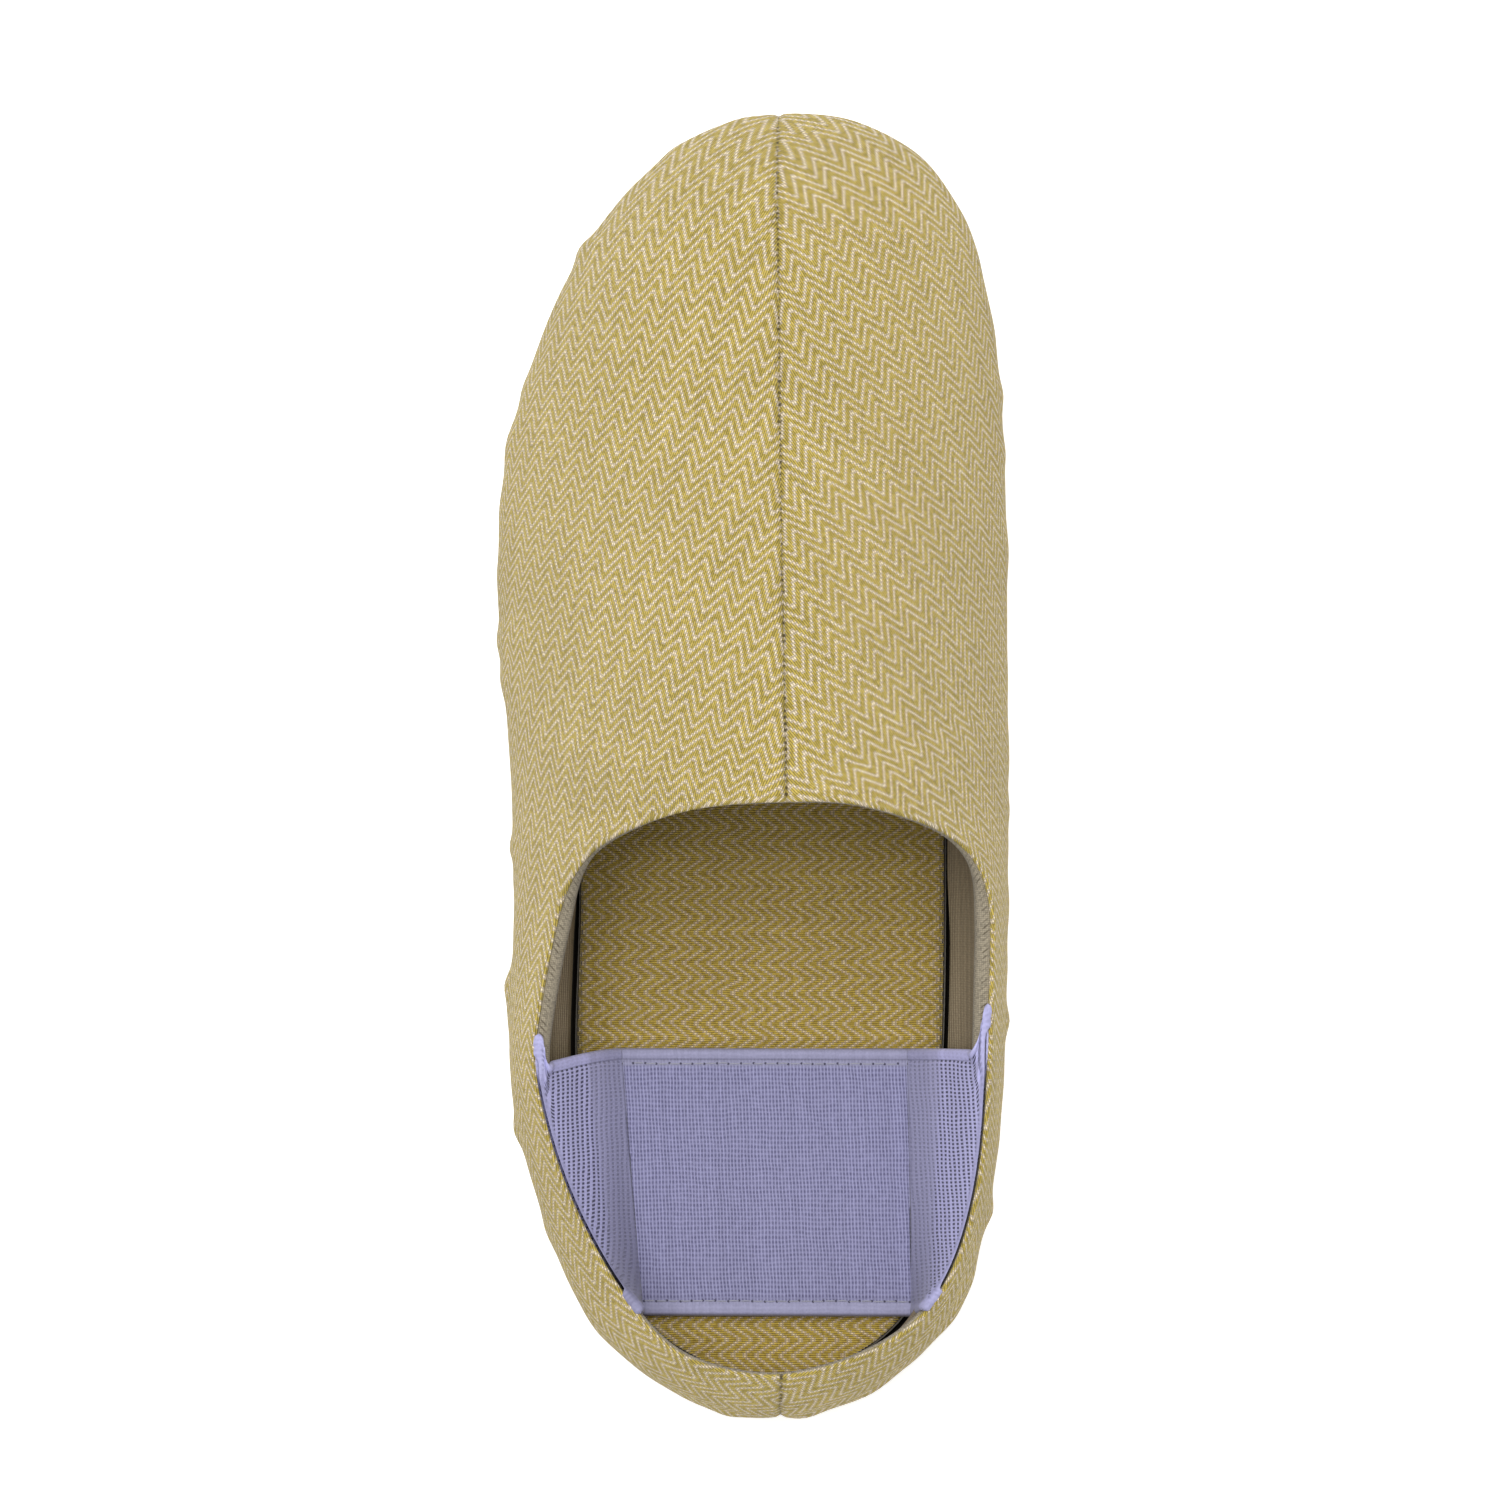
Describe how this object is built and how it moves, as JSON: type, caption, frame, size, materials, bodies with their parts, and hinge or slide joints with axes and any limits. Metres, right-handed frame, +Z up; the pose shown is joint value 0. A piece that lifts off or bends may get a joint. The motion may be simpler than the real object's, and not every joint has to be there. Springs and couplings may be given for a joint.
{
  "type": "house slipper",
  "caption": "Left house slipper with a round-toed hollow cloth upper, low heel wall, thin sole, insole and a wide elastic heel band lying on the footbed.",
  "frame": {"origin": "under the middle of the shoe's box, on the floor that the sole stands on", "axes": "+Y from heel to toe, +Z up, +X to the foot's inner side"},
  "size_m": [0.102, 0.26, 0.0739],
  "materials": {
    "sole": "matt, fine grain",
    "insole_cloth": "mustard and cream herringbone cloth over foam",
    "upper_cloth": "mustard and cream herringbone cloth, beige lining and rim facing",
    "elastic": "woven lilac elastic web"
  },
  "bodies": {
    "root": {"outsole": "sole", "insole": "insole_cloth", "upper": "upper_cloth", "heel_band": "elastic"}
  },
  "joints": []
}
